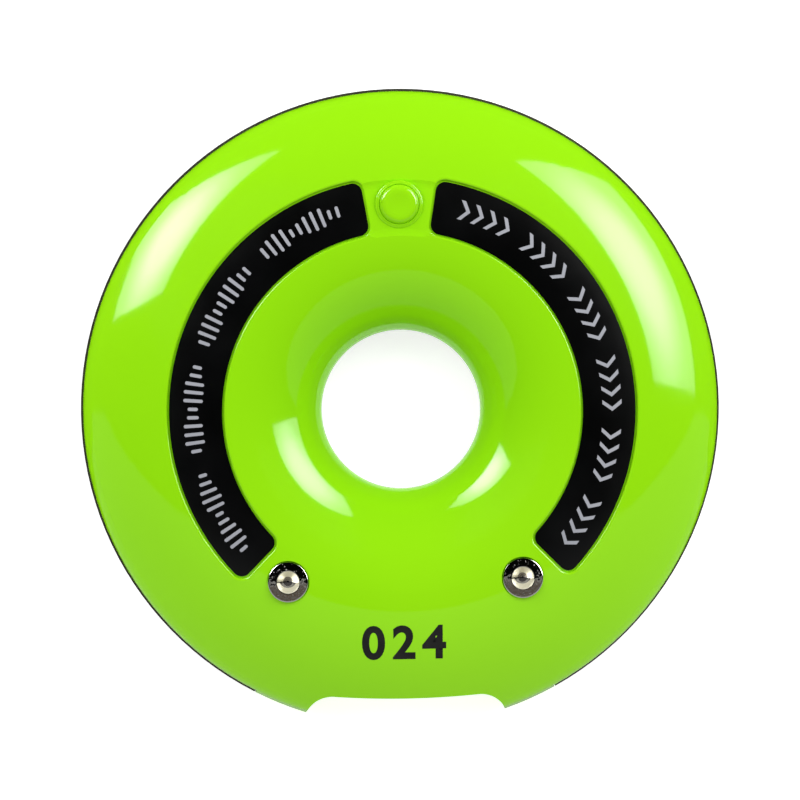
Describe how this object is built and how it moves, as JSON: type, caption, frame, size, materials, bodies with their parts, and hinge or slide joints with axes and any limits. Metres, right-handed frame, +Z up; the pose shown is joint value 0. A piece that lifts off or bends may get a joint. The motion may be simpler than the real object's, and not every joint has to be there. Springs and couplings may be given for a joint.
{
  "type": "guest pager",
  "caption": "Flat ring-shaped guest pager with a glossy domed shell, round push button, curved label strips, metal charging contacts and a notched edge.",
  "frame": {"origin": "on the disc's axis, in the plane of the lower shell's underside", "axes": "+Z up out of the green face, along the centre hole; +Y towards the button, with the notch at -Y; +X to the right as seen from above"},
  "size_m": [0.106, 0.1033, 0.0214],
  "materials": {
    "green_shell": "high gloss",
    "green_button": "high gloss",
    "smoke_shell": "gloss smoked",
    "label_black": "satin gloss film",
    "black_plastic": "matte",
    "grey_plastic": "matte",
    "white_plastic": "matte",
    "contact_chrome": "polished nickel",
    "tinned_brass": "tinned",
    "nickel_steel": "nickel plated",
    "gold_brass": "gold plated",
    "spring_steel": "bright wire",
    "tungsten_grey": "sintered",
    "board_green": "solder mask",
    "copper_wire": "bare copper",
    "led_white": "moulded lens",
    "ceramic_tan": "ceramic",
    "foam_grey": "closed cell foam",
    "foil_silver": "laminated foil",
    "black_rubber": "matte",
    "red_wire": "silicone insulation",
    "black_wire": "silicone insulation",
    "blank_plate": "satin film"
  },
  "bodies": {
    "case": {"top_case": "green_shell", "bottom_case": "smoke_shell", "left_label": "label_black", "right_label": "label_black", "tact_switch_body": "black_plastic", "left_contact_cup": "contact_chrome", "right_contact_cup": "contact_chrome", "contact_lugs": "tinned_brass", "contact_nuts": "nickel_steel", "left_contact_lead": "red_wire", "right_contact_lead": "black_wire", "left_pin_sleeve": "gold_brass", "right_pin_sleeve": "gold_brass", "left_pin_spring": "spring_steel", "right_pin_spring": "spring_steel", "circuit_board": "board_green", "microcontroller": "black_plastic", "radio_can": "nickel_steel", "crystal": "nickel_steel", "antenna_coil": "copper_wire", "buzzer": "black_plastic", "rim_leds": "led_white", "board_parts": "ceramic_tan", "battery_pad": "foam_grey", "battery_cell": "foil_silver", "battery_socket": "white_plastic", "battery_plug": "white_plastic", "battery_red_lead": "red_wire", "battery_black_lead": "black_wire", "motor_boot": "black_rubber", "motor_can": "nickel_steel", "motor_end_cap": "white_plastic", "motor_red_lead": "red_wire", "motor_black_lead": "black_wire", "case_screws": "nickel_steel", "rubber_feet": "black_rubber", "serial_plate": "blank_plate"},
    "button": {"button_cap": "green_button"},
    "switch_plunger": {"tact_switch_plunger": "grey_plastic"},
    "left_pin": {"left_charge_pin": "gold_brass"},
    "right_pin": {"right_charge_pin": "gold_brass"},
    "rotor": {"motor_shaft": "spring_steel", "eccentric_weight": "tungsten_grey"}
  },
  "joints": [
    {"name": "button_press", "type": "slide", "parent": "case", "child": "button", "axis": [0, 0, -1], "range_m": [0, 0.0004], "stiffness_N_per_m": 3000, "springref_m": -0.0001},
    {"name": "plunger_press", "type": "slide", "parent": "case", "child": "switch_plunger", "axis": [0, 0, -1], "range_m": [0, 0.0004]},
    {"name": "left_pin_press", "type": "slide", "parent": "case", "child": "left_pin", "axis": [0, 0, 1], "range_m": [0, 0.001], "stiffness_N_per_m": 600, "springref_m": -0.0005, "deforming": ["left_pin_spring"]},
    {"name": "right_pin_press", "type": "slide", "parent": "case", "child": "right_pin", "axis": [0, 0, 1], "range_m": [0, 0.001], "stiffness_N_per_m": 600, "springref_m": -0.0005, "deforming": ["right_pin_spring"]},
    {"name": "motor_spin", "type": "hinge", "parent": "case", "child": "rotor", "pos_m": [-0.033, 0, 0.0076], "axis": [0, 1, 0], "continuous": true}
  ],
  "couplings": [
    {"joint": "plunger_press", "follows": "button_press", "ratio": 1}
  ]
}
